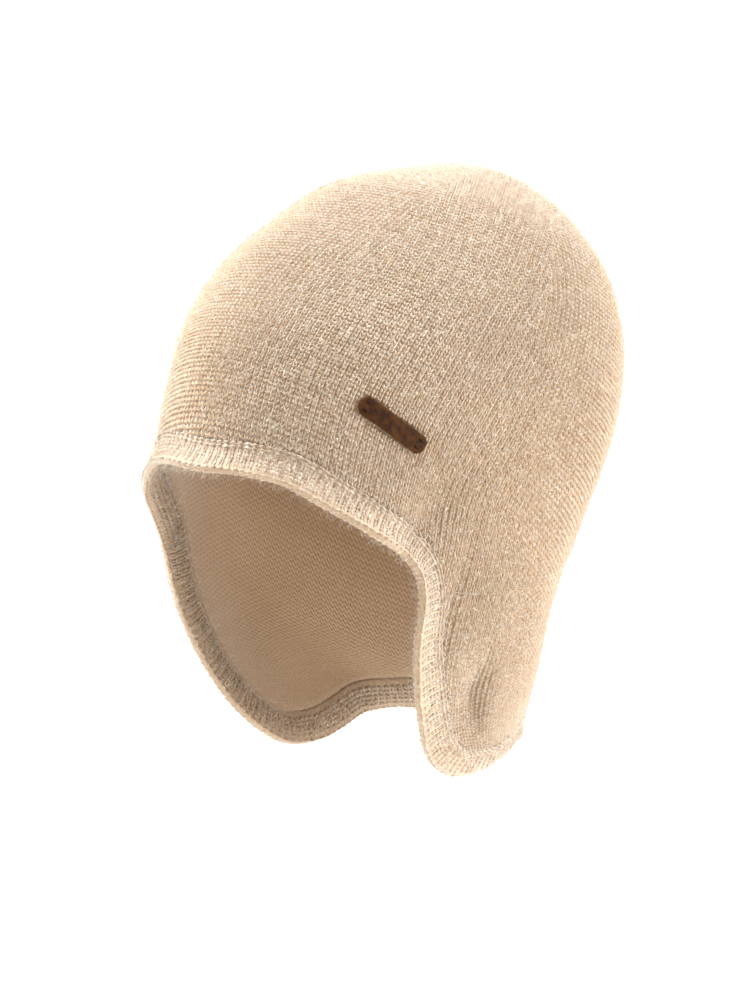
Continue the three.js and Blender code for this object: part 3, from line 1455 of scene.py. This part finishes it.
@dataclass
class LeatherTab:
    """The small dark tab on the wearer's left, sewn down at both ends.

    Its section is squarer the lower its two powers are. Its rings crowd towards its ends, where
    end_share of its thickness is left.
    """

    form: Form
    leather: LeatherFinish
    thread: ThreadFinish
    length: float = 32 * MM
    width: float = 7.8 * MM
    thickness: float = 1.5 * MM
    corner: float = 2 * MM
    gap: float = 0.3 * MM
    round_edge: float = 0.45 * MM
    end_share: float = 0.45
    side_power: float = 0.35
    face_power: float = 0.5
    crowding: float = 0.4
    swell: float = 0.06 * MM
    swells: float = 1.5
    worn_end: float = 1.2 * MM
    worn_side_power: float = 8
    angle: float = math.radians(48)
    height: float = -80 * MM
    turn: float = math.radians(-6)
    steps_along: int = 72
    steps_across: int = 20
    approaches: int = 6
    stitch: TabStitch = TabStitch()
    centre: np.ndarray = field(init=False)
    middle: np.ndarray = field(init=False)
    normal: np.ndarray = field(init=False)
    lengthwise: np.ndarray = field(init=False)
    widthwise: np.ndarray = field(init=False)

    def __post_init__(self) -> None:
        """Works out the tab's middle and the ways along it, across it and off the wall."""
        angle = np.array([self.angle])
        self.centre = np.array([self.angle, self.form.t_at_height(angle, np.array([self.height]))[0]])
        normal = self.form.normal(*self.centre[:, None])[0]
        step = self.form.step
        before, after = (self.form.point(angle + s, self.centre[1:])[0] for s in (-step, step))
        course = unit(after - before)
        cos, sin = math.cos(self.turn), math.sin(self.turn)
        self.normal = normal
        self.lengthwise = unit(course * cos + np.cross(normal, course) * sin)
        self.widthwise = np.cross(normal, self.lengthwise)
        self.middle = self.form.wall_point(*self.centre[:, None], 0)[0]

    def covers(self, points: np.ndarray) -> np.ndarray:
        """Which points lie under the tab.

        Args:
            points: Points near the outer face.

        Returns:
            True for each point that the tab hides.
        """
        off = points - self.middle
        along = np.abs(off @ self.lengthwise) < self.length / 2
        across = np.abs(off @ self.widthwise) < self.width / 2
        near = np.abs(off @ self.normal) < self.length / 2
        return along & across & near

    def on_wall(self, along: np.ndarray, across: np.ndarray, level: np.ndarray) -> np.ndarray:
        """Points over the wall at distances from the tab's middle.

        Args:
            along: Distances along the tab.
            across: Distances across it.
            level: Heights over the wall's outer face.

        Returns:
            One point for each place.
        """
        angle = np.full(along.shape, self.centre[0])
        t = np.full(along.shape, self.centre[1])
        step = self.form.step

        def miss(a: np.ndarray, b: np.ndarray) -> tuple[np.ndarray, np.ndarray]:
            """How far places are from where they are wanted."""
            off = self.form.wall_point(a, b, 0) - self.middle
            return off @ self.lengthwise - along, off @ self.widthwise - across

        for _ in range(self.approaches):
            u, v = miss(angle, t)
            u_angle, v_angle = ((m - base) / step for m, base in zip(miss(angle + step, t), (u, v)))
            u_t, v_t = ((m - base) / step for m, base in zip(miss(angle, t + step), (u, v)))
            size = u_angle * v_t - v_angle * u_t
            angle = angle - (u * v_t - v * u_t) / size
            t = t - (u_angle * v - v_angle * u) / size
        return self.form.wall_point(angle, t, 0) + self.form.normal(angle, t) * level[..., None]

    def make_strip(self) -> bpy.types.Object:
        """Builds the strip: cut corners, rounded edges and a slight swell.

        Returns:
            The piece that stands for the CAD tab.
        """
        half_length = self.length / 2
        even = np.linspace(-1, 1, self.steps_along + 1)
        crowded = np.sin(even * math.pi / 2)
        place = (even * (1 - self.crowding) + crowded * self.crowding) * half_length
        from_end = half_length - np.abs(place)
        half = self.width / 2 - np.clip(self.corner - from_end, 0, None)
        turn = around(2 * self.steps_across)
        round_x = signed_power(np.cos(turn), self.side_power)
        round_z = signed_power(np.sin(turn), self.face_power)
        to_edge = 1 - np.clip(from_end / self.round_edge, 0, 1)
        end_thin = np.sqrt(1 - to_edge ** 2) * (1 - self.end_share) + self.end_share
        across = half[:, None] * round_x[None]
        middle = self.gap + self.thickness / 2
        swell = self.swell * np.cos(place / half_length * TURN * self.swells)[:, None] * (round_z[None] > 0)
        level = middle + self.thickness / 2 * round_z[None] * end_thin[:, None] + swell
        along = np.broadcast_to(place[:, None], across.shape)
        rings = self.on_wall(along, across, level)
        ends = self.on_wall(np.array([-half_length, half_length]), np.zeros(2), np.full(2, middle))
        count = across.size
        points = np.concatenate([rings.reshape(-1, 3), ends])
        faces = capped_faces(len(rings), len(turn), count, count + 1)
        strip = add_mesh("leather_strip", points, faces, self.leather.make())
        worn_side = np.abs(round_x)[None] ** self.worn_side_power
        worn_end = np.clip(1 - from_end / self.worn_end, 0, 1)[:, None]
        add_attribute(strip, "edge", np.append(np.maximum(worn_side, worn_end).ravel(), [1, 1]))
        return strip

    def stitch_tube(self, end: int, row: int) -> np.ndarray:
        """Points of one short stitch.

        Args:
            end: The tab's end, -1 or 1.
            row: The side of the tab's middle line, -1 or 1.

        Returns:
            Rings of points from its first end to its last, then a point for each end.
        """
        stitch = self.stitch
        bow = np.linspace(0, math.pi, stitch.steps)
        along = end * (self.length / 2 - stitch.from_end) - stitch.half_length * np.cos(bow)
        across = np.full(stitch.steps, row * stitch.from_middle)
        level = self.gap + self.thickness - stitch.sunk + stitch.bow * np.sin(bow)
        path = self.on_wall(along, across, level)
        way = unit(np.gradient(path, axis=0))
        side = unit(np.cross(way, self.normal))
        up = np.cross(way, side)
        turn = around(stitch.sides)[None, :, None]
        ring = path[:, None] + stitch.radius * (side[:, None] * np.cos(turn) + up[:, None] * np.sin(turn))
        return np.concatenate([ring.reshape(-1, 3), path[:1], path[-1:]])

    def make_thread(self) -> bpy.types.Object:
        """Builds the thread that sews the tab down: two short stitches at each end.

        Returns:
            The piece.
        """
        tubes = [self.stitch_tube(end, row) for end in (-1, 1) for row in (-1, 1)]
        count = self.stitch.steps * self.stitch.sides
        tube_faces = capped_faces(self.stitch.steps, self.stitch.sides, count, count + 1)
        faces = [[index + number * len(tube) for index in face]
                 for number, tube in enumerate(tubes) for face in tube_faces]
        return add_mesh("tab_thread", np.concatenate(tubes), faces, self.thread.make())


@dataclass
class WoolHalo:
    """The soft fuzz of brushed wool: fine curved fibres that lie over the knit and lift off it.

    The densities are fibres for each square metre.
    """

    tab: LeatherTab
    radius: float = 0.05 * MM
    length: float = 4.4 * MM
    shortest: float = 0.55
    longest: float = 1.35
    curl: float = 0.2
    lift: float = math.radians(20)
    least_lift: float = 0.05
    bare_rim: float = 3 * MM
    knit_density: float = 560000.0
    band_density: float = 600000.0
    sides: int = 3
    rings: int = 2
    seed: int = 5

    def bare(self, strewn: PointTree) -> Value:
        """Where the fuzz stays off the tab and a rim round it.

        Args:
            strewn: The tree that asks.

        Returns:
            1 for each place in the bare patch, else 0.
        """
        graph = strewn.graph
        off = graph.value("ShaderNodeVectorMath", {"operation": "SUBTRACT"}, {
            "Vector": graph.value("GeometryNodeInputPosition"), "Vector_001": tuple(self.tab.middle),
        })

        def near(way: np.ndarray, size: str) -> Value:
            """Whether a place lies within half a size of the tab's middle.

            Args:
                way: The way that it is measured.
                size: The name of the size.

            Returns:
                1 for each place that does, else 0.
            """
            inputs = {"Vector": off, "Vector_001": tuple(way)}
            away = graph.value("ShaderNodeVectorMath", {"operation": "DOT_PRODUCT"}, inputs, "Value")
            return abs(away).less_than(strewn.given(size) * 0.5)

        along = near(self.tab.lengthwise, "Bare length")
        return along * near(self.tab.widthwise, "Bare width") * near(self.tab.normal, "Bare length")

    def fibre(self, strewn: PointTree) -> Value:
        """One fibre that stands on its root and bends over.

        Args:
            strewn: The tree that it is for.

        Returns:
            The fibre's geometry.
        """
        graph = strewn.graph
        radius = strewn.given("Fibre radius")
        half = strewn.given("Fibre length") * 0.5
        inputs = {"Segments": self.sides, "Rings": self.rings, "Radius": 1.0}
        ball = graph.value("GeometryNodeMeshUVSphere", None, inputs)
        size = graph.value("ShaderNodeCombineXYZ", None, {"X": radius, "Y": radius, "Z": half})
        straight = graph.value("GeometryNodeTransform", None, {"Geometry": ball, "Scale": size})
        place = {"Vector": graph.value("GeometryNodeInputPosition")}
        reach = Value(graph, graph.node("ShaderNodeSeparateXYZ", None, place).outputs["Z"])
        bow = reach * reach * strewn.given("Curl") * (2 / self.length)
        offset = graph.value("ShaderNodeCombineXYZ", None, {"X": bow * -1, "Z": half})
        return graph.value("GeometryNodeSetPosition", None, {"Geometry": straight, "Offset": offset})

    def tree(self, density: float) -> PointTree:
        """The tree that strews fibres over faces.

        Args:
            density: Fibres for each square metre.

        Returns:
            The tree.
        """
        strewn = PointTree("wool_halo", {
            "Fibre radius": self.radius, "Fibre length": self.length, "Curl": self.curl,
            "Density": density, "Seed": self.seed,
            "Bare length": self.tab.length + 2 * self.bare_rim,
            "Bare width": self.tab.width + 2 * self.bare_rim,
        })
        graph = strewn.graph
        seed = strewn.given("Seed")
        scatter = graph.node("GeometryNodeDistributePointsOnFaces", {"distribute_method": "RANDOM"}, {
            "Mesh": strewn.given("Geometry"), "Density": strewn.given("Density"), "Seed": seed,
        })
        roots = graph.value("GeometryNodeDeleteGeometry", {"domain": "POINT"}, {
            "Geometry": Value(graph, scatter.outputs["Points"]), "Selection": self.bare(strewn),
        })

        def drawn(low: float, high: float, shift: int) -> Value:
            """A number drawn for each fibre, with the seed shifted."""
            inputs = {"Min_001": low, "Max_001": high, "Seed": seed + shift}
            return graph.value("FunctionNodeRandomValue", {"data_type": "FLOAT"}, inputs, "Value_001")

        upright = math.pi / 2
        whirl = drawn(0.0, TURN, 1)
        tilt = drawn(upright - self.lift * 2, upright - self.least_lift, 2)
        local = graph.value("ShaderNodeCombineXYZ", None, {"Y": tilt, "Z": whirl})
        turned = graph.value("FunctionNodeEulerToRotation", None, {"Euler": local})
        rotation = graph.value("FunctionNodeRotateRotation", {"rotation_space": "LOCAL"}, {
            "Rotation": Value(graph, scatter.outputs["Rotation"]), "Rotate By": turned,
        })
        strewn.end(graph.value("GeometryNodeInstanceOnPoints", None, {
            "Points": roots, "Instance": self.fibre(strewn),
            "Rotation": rotation, "Scale": drawn(self.shortest, self.longest, 3),
        }))
        return strewn

    def strew(self, name: str, skin: bpy.types.Object, density: float,
              material: bpy.types.Material) -> bpy.types.Object:
        """Makes one piece of fuzz over a skin, which is used up.

        Args:
            name: The piece's name.
            skin: The faces that the fibres grow from.
            density: Fibres for each square metre.
            material: Their wool.

        Returns:
            The piece.
        """
        skin.name = name
        return self.tree(density).run(skin, material)


@dataclass(frozen=True)
class Studio:
    """Pale floor, soft lights and the camera at the photo's viewing angle."""

    aim: tuple[float, float, float] = (0, -30 * MM, -128 * MM)
    azimuth: float = math.radians(38.9)
    elevation: float = math.radians(12.5)
    roll: float = math.radians(-0.8)
    distance: float = 2.0
    frame_height: float = 408 * MM
    sensor: float = 36.0
    sight: float = 100
    tint: tuple[float, float, float] = (0.9, 0.96, 1)
    surroundings: tuple[float, float, float, float] = (1, 0.93, 0.84, 1)
    surroundings_power: float = 0.26
    floor_height: float = -0.42
    floor_reach: float = 30
    floor_sides: int = 64

    def place(self, azimuth: float, elevation: float, distance: float) -> Vector:
        """A point seen from the aim.

        Args:
            azimuth: Radians from the front towards the wearer's left.
            elevation: Radians above the level.
            distance: Metres from the aim.

        Returns:
            The point.
        """
        flat = math.cos(elevation)
        way = (math.sin(azimuth) * flat, -math.cos(azimuth) * flat, math.sin(elevation))
        return Vector(self.aim) + Vector(way) * distance

    def facing(self, place: Vector) -> Any:
        """The turn that looks from a place at the aim."""
        return (Vector(self.aim) - place).to_track_quat("-Z", "Y").to_euler()

    def make_camera(self) -> bpy.types.Object:
        """Sets up the camera.

        Returns:
            The camera.
        """
        data = bpy.data.cameras.new("camera")
        data.sensor_fit = "VERTICAL"
        data.sensor_height = self.sensor
        data.lens = self.sensor * self.distance / self.frame_height
        data.clip_end = self.sight
        camera = add_object("camera", data)
        camera.location = self.place(self.azimuth, self.elevation, self.distance)
        camera.rotation_euler = self.facing(camera.location)
        camera.rotation_euler.rotate_axis("Z", self.roll)
        bpy.context.scene.camera = camera
        return camera

    def make_light(self, lamp: Lamp) -> bpy.types.Object:
        """Adds one soft square light that looks at the aim.

        Args:
            lamp: Its name, place, size and power.

        Returns:
            The light.
        """
        data = bpy.data.lights.new(lamp.name, "AREA")
        data.size = lamp.size
        data.energy = lamp.power
        data.color = self.tint
        light = add_object(lamp.name, data)
        light.location = self.place(math.radians(lamp.azimuth), math.radians(lamp.elevation), lamp.distance)
        light.rotation_euler = self.facing(light.location)
        return light

    def make_lights(self) -> None:
        """Adds the lights and the pale surroundings."""
        for lamp in LAMPS:
            self.make_light(lamp)
        world = bpy.data.worlds.new("surroundings")
        world.use_nodes = True
        background = world.node_tree.nodes["Background"]
        background.inputs["Color"].default_value = self.surroundings
        background.inputs["Strength"].default_value = self.surroundings_power
        bpy.context.scene.world = world
        bpy.context.scene.view_settings.view_transform = "Standard"

    def make_floor(self) -> bpy.types.Object:
        """Lays the floor.

        Returns:
            The floor.
        """
        turn = around(self.floor_sides)
        flat = np.stack([np.cos(turn), np.sin(turn)], -1) * self.floor_reach
        rim = np.column_stack([flat, np.full(self.floor_sides, self.floor_height)])
        floor = add_mesh("floor", rim, [list(range(self.floor_sides))], FloorFinish().make())
        return floor


def keep(piece: bpy.types.Object, slot: str, *stands_for: str) -> None:
    """Fits a finished piece to the frame and reports it.

    Args:
        piece: The piece.
        slot: A slot name, which is only written to the log.
        stands_for: CAD nodes that it replaces.
    """
    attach(piece, BODY)
    if stands_for:
        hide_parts(*stands_for)
    piece.data.calc_loop_triangles()
    log.info("%s: %d triangles, slot %s", piece.name, len(piece.data.loop_triangles), slot)


def main() -> None:
    """Builds every piece in order, then the studio."""
    logging.basicConfig(level=logging.INFO, format="%(message)s")
    form = Form()
    knit_wool = WoolFinish("knit_wool", deep=0x8d7056, middle=0xbb9d7d, pale=0xe4d1ba)
    # Darker wool for the wall under the stitches: painted shade.
    under_wool_painted_shade = WoolFinish("under_wool_painted_shade", deep=0x80664d, middle=0xa08467, pale=0xc0a688)
    inner_wool = WoolFinish("inner_wool", purl=True)
    band_wool = WoolFinish("band_wool", deep=0x8f745c, middle=0xb79d83, pale=0xddccb8, tone_share=0.22)
    groove_wool = WoolFinish("groove_wool", deep=0xa48a71, middle=0xbda388, pale=0xd6c2ac)
    # Paler wool for the fuzz fibres: partly their own paler tone, partly a painted highlight that whitens
    # the lit edges.
    halo_wool_and_painted_highlight = WoolFinish("halo_wool_and_painted_highlight", deep=0xd0bca2, middle=0xe6d8c4, pale=0xf9f2e8, tone_share=0.0)

    tab = LeatherTab(form, LeatherFinish(), ThreadFinish())
    keep(tab.make_strip(), "leather", "leather_tab")
    keep(tab.make_thread(), "leather")

    shell = KnitShell(form, knit_wool, under_wool_painted_shade, inner_wool)
    keep(shell.make_wall(), "knit", "knit_shell")
    for piece in shell.make_stitches(tab):
        keep(piece, "knit")

    band = EdgeBand(form, band_wool, groove_wool)
    keep(band.make_core(), "band", "edge_band")
    for piece in band.make_stitches():
        keep(piece, "band")

    halo = WoolHalo(tab)
    # The fuzz wears the paler wool, which is partly a painted highlight.
    fuzz = halo_wool_and_painted_highlight.make()
    for name, first, last in (("fuzz_front", -90, 90), ("fuzz_back", 90, 270)):
        keep(halo.strew(name, shell.skin(first, last), halo.knit_density, fuzz), "knit")
    keep(halo.strew("fuzz_band", band.skin(), halo.band_density, fuzz), "band")

    studio = Studio()
    studio.make_camera()
    studio.make_lights()
    studio.make_floor()


if __name__ == "__main__":
    main()
